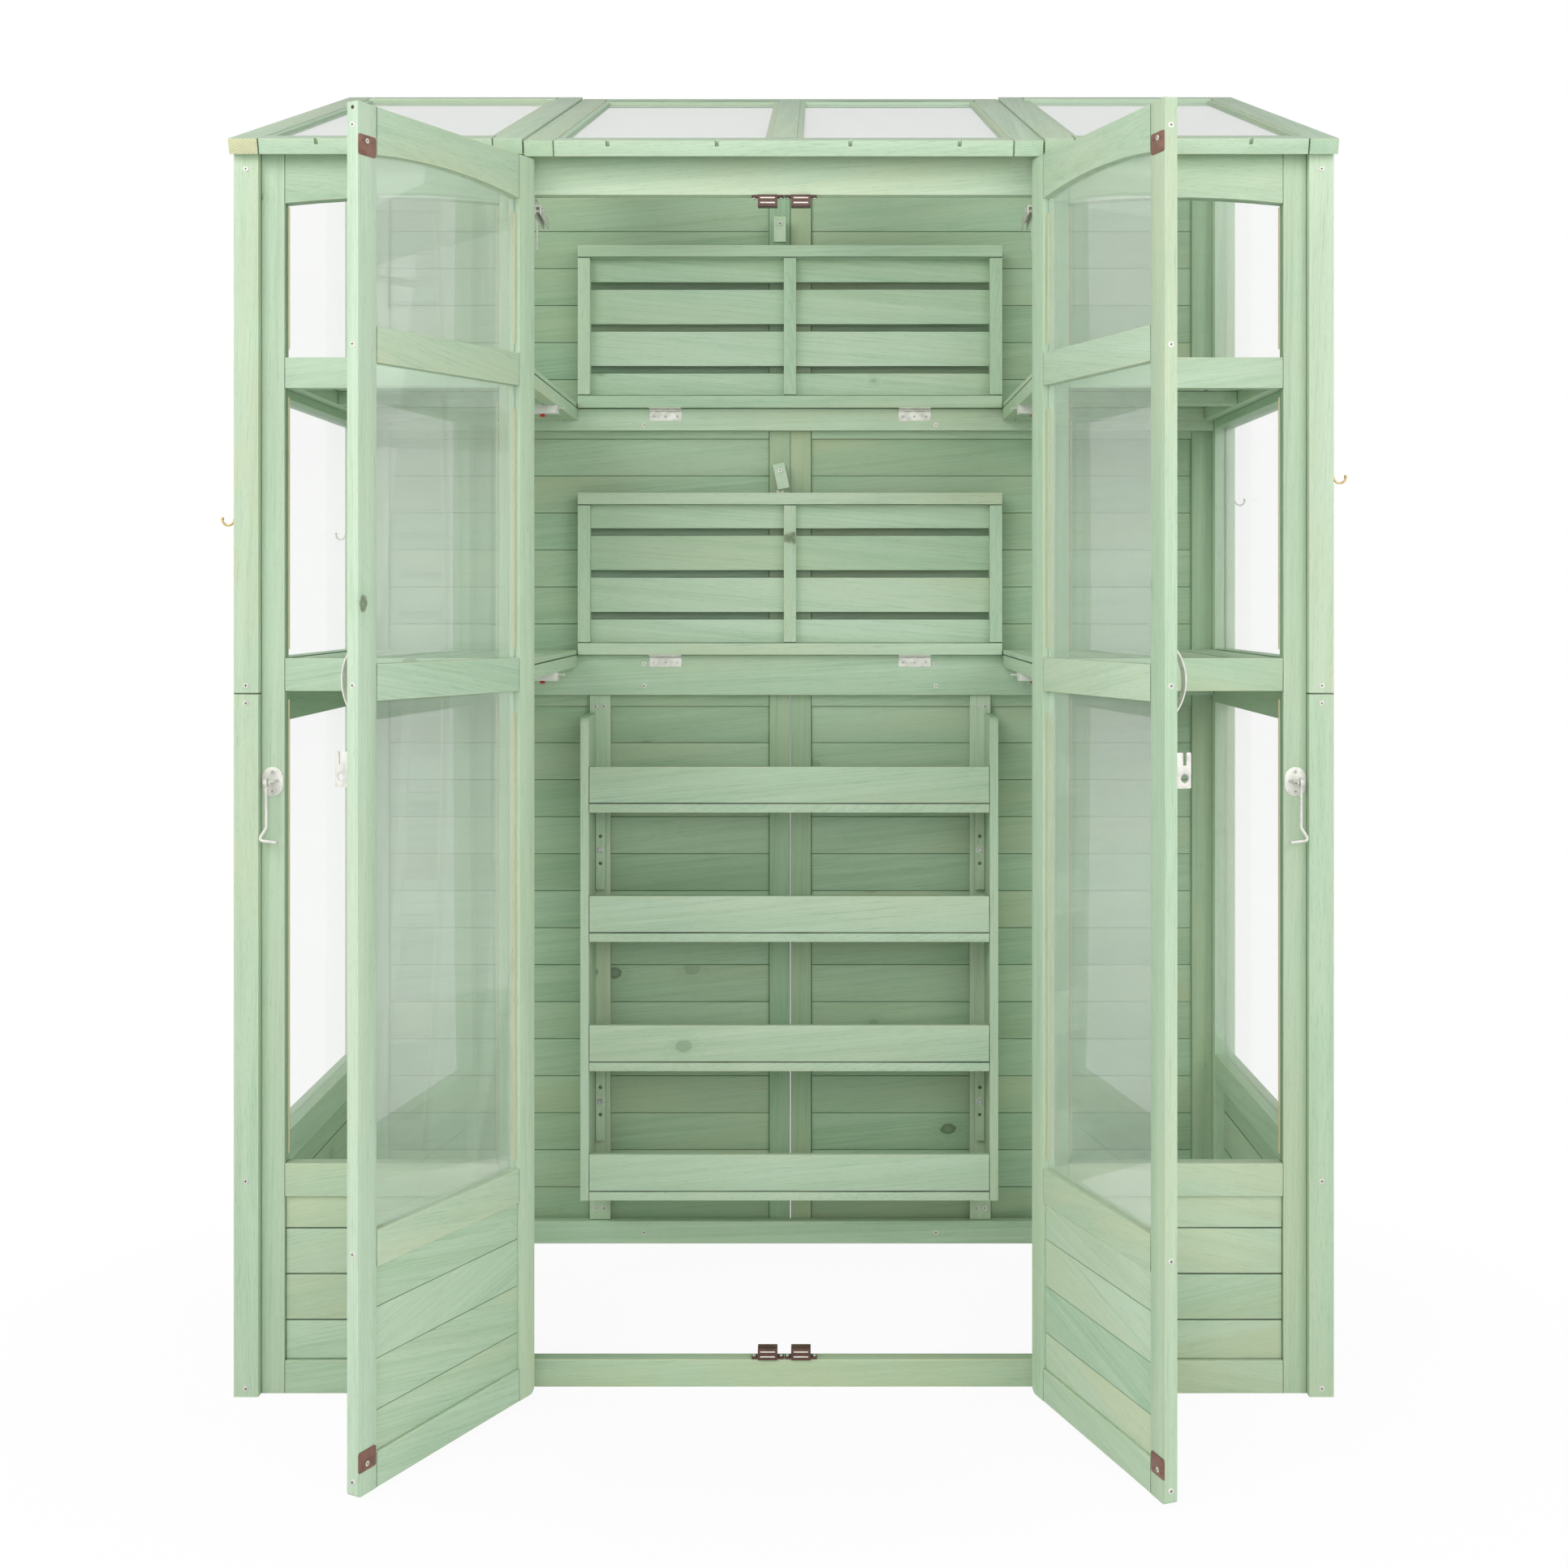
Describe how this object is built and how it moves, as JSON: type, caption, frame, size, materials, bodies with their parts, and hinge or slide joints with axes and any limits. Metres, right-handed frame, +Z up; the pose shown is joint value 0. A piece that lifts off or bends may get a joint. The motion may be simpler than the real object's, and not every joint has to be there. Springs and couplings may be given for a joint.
{
  "type": "wooden mini greenhouse",
  "caption": "Timber lean-to mini greenhouse: glazed cabinet with boarded base, outward-opening doors, hinged roof vent, slatted shelves, fold-down flaps and a hanging rack.",
  "frame": {"origin": "on the ground, at the centre of the threshold's underside, in the middle of the doorway", "axes": "+X to the right as seen from the front, +Y from the doors towards the back wall, +Z up"},
  "size_m": [1.5464, 1.0073, 1.9439],
  "materials": {
    "frame_wood": "pale green pressure-treated softwood, planed",
    "board_wood": "pale green pressure-treated tongue-and-groove boards",
    "inside_wood": "pale green pressure-treated softwood, planed",
    "glazing": "clear sheet, slightly milky",
    "zinc_steel": "bright zinc plate",
    "yellow_metal": "yellow passivated",
    "bronzed_steel": "brown bronzed plate",
    "brown_plastic": "moulded",
    "white_plastic": "moulded",
    "red_plastic": "moulded"
  },
  "bodies": {
    "cabinet": {"side_frame_left": "frame_wood", "side_frame_right": "frame_wood", "front_frame_left": "frame_wood", "front_frame_right": "frame_wood", "apron_boards": "board_wood", "wall_glazing": "glazing", "back_frames": "frame_wood", "back_boards": "board_wood", "wall_cleats": "inside_wood", "header": "frame_wood", "threshold": "frame_wood", "magnetic_catches": "brown_plastic", "roof_frame_left": "frame_wood", "roof_frame_right": "frame_wood", "roof_glazing": "glazing", "upper_side_shelves": "inside_wood", "lower_side_shelves": "inside_wood", "bolt_housings": "white_plastic", "rack_sides": "inside_wood", "rack_shelves": "inside_wood", "rack_lips": "inside_wood", "rack_battens": "inside_wood", "wall_strips": "inside_wood", "rack_bolts": "zinc_steel", "hook_eyes": "zinc_steel", "front_cup_hooks": "yellow_metal", "back_cup_hooks": "zinc_steel", "frame_screws": "zinc_steel", "stay_brackets": "zinc_steel", "fixed_hinge_leaves": "zinc_steel"},
    "left_door": {"door_frame_left": "frame_wood", "door_boards_left": "board_wood", "door_glazing_left": "glazing", "door_handle_left": "zinc_steel", "door_fittings_left": "zinc_steel", "strike_plates_left": "bronzed_steel"},
    "right_door": {"door_frame_right": "frame_wood", "door_boards_right": "board_wood", "door_glazing_right": "glazing", "door_handle_right": "zinc_steel", "door_fittings_right": "zinc_steel", "strike_plates_right": "bronzed_steel"},
    "roof_vent": {"vent_frame": "frame_wood", "vent_glazing": "glazing", "vent_leaves": "zinc_steel"},
    "upper_shelf_flap": {"upper_flap": "inside_wood", "upper_flap_fittings": "zinc_steel"},
    "upper_turn_button": {"upper_button": "inside_wood"},
    "lower_shelf_flap": {"lower_flap": "inside_wood", "lower_flap_fittings": "zinc_steel"},
    "lower_turn_button": {"lower_button": "inside_wood"},
    "upper_left_bolt": {"bolt_pin_upper_left": "red_plastic"},
    "upper_right_bolt": {"bolt_pin_upper_right": "red_plastic"},
    "lower_left_bolt": {"bolt_pin_lower_left": "red_plastic"},
    "lower_right_bolt": {"bolt_pin_lower_right": "red_plastic"},
    "left_cabin_hook": {"cabin_hook_left": "zinc_steel"},
    "left_stay": {"stay_arm_left": "zinc_steel"},
    "right_cabin_hook": {"cabin_hook_right": "zinc_steel"},
    "right_stay": {"stay_arm_right": "zinc_steel"}
  },
  "joints": [
    {"name": "left_door_hinge", "type": "hinge", "parent": "cabinet", "child": "left_door", "pos_m": [-0.357, -0.036, 0], "axis": [0, 0, -1], "range_deg": [-118, 39]},
    {"name": "right_door_hinge", "type": "hinge", "parent": "cabinet", "child": "right_door", "pos_m": [0.357, -0.036, 0], "axis": [0, 0, 1], "range_deg": [-110, 47]},
    {"name": "vent_hinge", "type": "hinge", "parent": "cabinet", "child": "roof_vent", "pos_m": [0, 0.62708, 1.9177], "axis": [-1, 0, 0], "range_deg": [0, 45]},
    {"name": "upper_flap_hinge", "type": "hinge", "parent": "cabinet", "child": "upper_shelf_flap", "pos_m": [0, 0.581, 1.4065], "axis": [1, 0, 0], "range_deg": [0, 90]},
    {"name": "lower_flap_hinge", "type": "hinge", "parent": "cabinet", "child": "lower_shelf_flap", "pos_m": [0, 0.581, 0.9914], "axis": [1, 0, 0], "range_deg": [0, 90]},
    {"name": "upper_button_turn", "type": "hinge", "parent": "cabinet", "child": "upper_turn_button", "pos_m": [-0.017, 0.576, 1.719], "axis": [0, 1, 0], "range_deg": [-90, 90]},
    {"name": "lower_button_turn", "type": "hinge", "parent": "cabinet", "child": "lower_turn_button", "pos_m": [-0.017, 0.576, 1.3039], "axis": [0, 1, 0], "range_deg": [-90, 90]},
    {"name": "upper_left_bolt_slide", "type": "slide", "parent": "cabinet", "child": "upper_left_bolt", "axis": [-1, 0, 0], "range_m": [0, 0.012]},
    {"name": "upper_right_bolt_slide", "type": "slide", "parent": "cabinet", "child": "upper_right_bolt", "axis": [1, 0, 0], "range_m": [0, 0.012]},
    {"name": "lower_left_bolt_slide", "type": "slide", "parent": "cabinet", "child": "lower_left_bolt", "axis": [-1, 0, 0], "range_m": [0, 0.012]},
    {"name": "lower_right_bolt_slide", "type": "slide", "parent": "cabinet", "child": "lower_right_bolt", "axis": [1, 0, 0], "range_m": [0, 0.012]},
    {"name": "left_hook_swing", "type": "hinge", "parent": "cabinet", "child": "left_cabin_hook", "pos_m": [-0.704, -0.049, 0.838], "axis": [-1, 0, 0], "range_deg": [0, 100]},
    {"name": "right_hook_swing", "type": "hinge", "parent": "cabinet", "child": "right_cabin_hook", "pos_m": [0.704, -0.049, 0.838], "axis": [-1, 0, 0], "range_deg": [0, 100]},
    {"name": "left_stay_swing", "type": "hinge", "parent": "cabinet", "child": "left_stay", "pos_m": [-0.341, 0.001, 1.626], "axis": [1, 0, 0], "range_deg": [0, 45]},
    {"name": "right_stay_swing", "type": "hinge", "parent": "cabinet", "child": "right_stay", "pos_m": [0.341, 0.001, 1.626], "axis": [1, 0, 0], "range_deg": [0, 45]}
  ]
}
